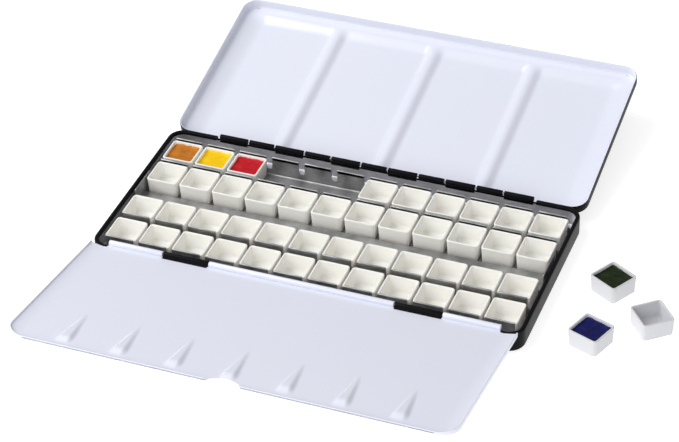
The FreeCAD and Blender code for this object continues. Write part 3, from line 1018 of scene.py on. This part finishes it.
def makeCake(colourName, seed):
    bm = bmesh.new()
    level = pan["height"] - cake["below"]
    inset = pan["wall"] + cavityLeanAt(level) - cake["overlap"]
    halfX = pan["width"] / 2 - inset
    halfY = pan["depth"] / 2 - inset
    shift = Vector((seed * 7.3, seed * 3.1, seed))

    def top(x, y):
        edge = max(min(halfX - abs(x), halfY - abs(y)), 0.0)
        climb = cake["meniscus"] * math.exp(-edge / cake["climbReach"])
        wave = noise.noise(Vector((x * 0.22, y * 0.22, 0)) + shift) * cake["rough"] * 1.6
        crease = noise.noise(Vector((x * 0.9, y * 0.5, 3)) + shift) * cake["rough"] * 0.5
        ragged = noise.noise(Vector((x * 0.8, y * 0.8, 9)) + shift) * cake["ragged"]
        return level + climb + wave + crease + ragged * math.exp(-edge / cake["raggedReach"]) - cake["sink"]

    columns = spread(-halfX, halfX, cake["spacing"])
    rows = spread(-halfY, halfY, cake["spacing"])
    place = cornerMapped(halfX, -halfY, halfY, cake["corner"])
    heightSheet(bm, columns, rows, place, top, cake["thickness"])
    made = objectFrom(bm, "paintCake_" + colourName, [makePaint(colourName)], 60)
    panPlace, turn = panPlaced[paintPans[colourName]]
    made.matrix_world = Matrix.Translation(panPlace) @ Matrix.Rotation(math.radians(turn), 4, "Z")
    bpy.context.view_layer.update()
    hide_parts("paint_" + colourName)
    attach(made, paintPans[colourName])
    return made


for number, colourName in enumerate(paintPans):
    makeCake(colourName, number + 1)
print("paint made")


# floor, light and camera
studio = {"floor": 6.0, "floorLevel": -0.02, "floorColour": (0.6, 0.6, 0.6, 1), "floorRoughness": 0.9,
          "floorGlow": 0.72, "world": 0.37}


def makeFloor():
    bm = bmesh.new()
    half = studio["floor"] / mm / 2
    corners = ((-half, -half), (half, -half), (half, half), (-half, half))
    bm.faces.new([bm.verts.new((x, y, studio["floorLevel"])) for x, y in corners])
    material, tree, shader = newMaterial("studioFloor")
    fixed(shader, base_color=studio["floorColour"], roughness=studio["floorRoughness"],
          emission_color=(1, 1, 1, 1), emission_strength=studio["floorGlow"])
    made = objectFrom(bm, "studioFloor", [material])


def softBox(name, place, size, power):
    # soft light in metres and watts, aimed at the tin
    light = bpy.data.lights.new(name, "AREA")
    light.shape = "RECTANGLE"
    light.size, light.size_y = size
    light.energy = power
    made = bpy.data.objects.new(name, light)
    made.location = place
    made.rotation_euler = (-Vector(place)).to_track_quat("-Z", "Y").to_euler()
    bpy.context.scene.collection.objects.link(made)


def makeWorld():
    world = bpy.data.worlds.new("studioWorld")
    world.use_nodes = True
    background = world.node_tree.nodes["Background"]
    background.inputs["Color"].default_value = (1, 1, 1, 1)
    background.inputs["Strength"].default_value = studio["world"]
    bpy.context.scene.world = world


# degrees and metres; the lens and the sensor in millimetres
cameraLook = {"azimuth": 21.66, "elevation": 37.07, "roll": -1.71, "distance": 1.38005,
              "aim": (-0.00659, 0.01956, 0.0), "lens": 131.864, "sensor": 36.0}


def makeCamera():
    azimuth = math.radians(cameraLook["azimuth"])
    elevation = math.radians(cameraLook["elevation"])
    roll = math.radians(cameraLook["roll"])
    back = Vector((math.sin(azimuth) * math.cos(elevation), -math.cos(azimuth) * math.cos(elevation),
                   math.sin(elevation)))
    right = Vector((math.cos(azimuth), math.sin(azimuth), 0))
    up = back.cross(right)
    across = right * math.cos(roll) + up * math.sin(roll)
    upward = up * math.cos(roll) - right * math.sin(roll)
    data = bpy.data.cameras.new("studioCamera")
    data.sensor_width = cameraLook["sensor"]
    data.lens = cameraLook["lens"]
    data.clip_start = 0.05
    data.clip_end = 20.0
    camera = bpy.data.objects.new("studioCamera", data)
    camera.matrix_world = Matrix.Translation(Vector(cameraLook["aim"]) + back * cameraLook["distance"]) \
        @ Matrix((across, upward, back)).transposed().to_4x4()
    bpy.context.scene.collection.objects.link(camera)
    bpy.context.scene.camera = camera


makeFloor()
softBox("keyLight", (-1.2, -0.3, 1.4), (1.6, 1.6), 28)
softBox("fillLight", (0.4, -1.5, 0.8), (1.4, 1.0), 9)
makeWorld()
makeCamera()
bpy.context.scene.view_settings.view_transform = "Standard"
print("studio made")
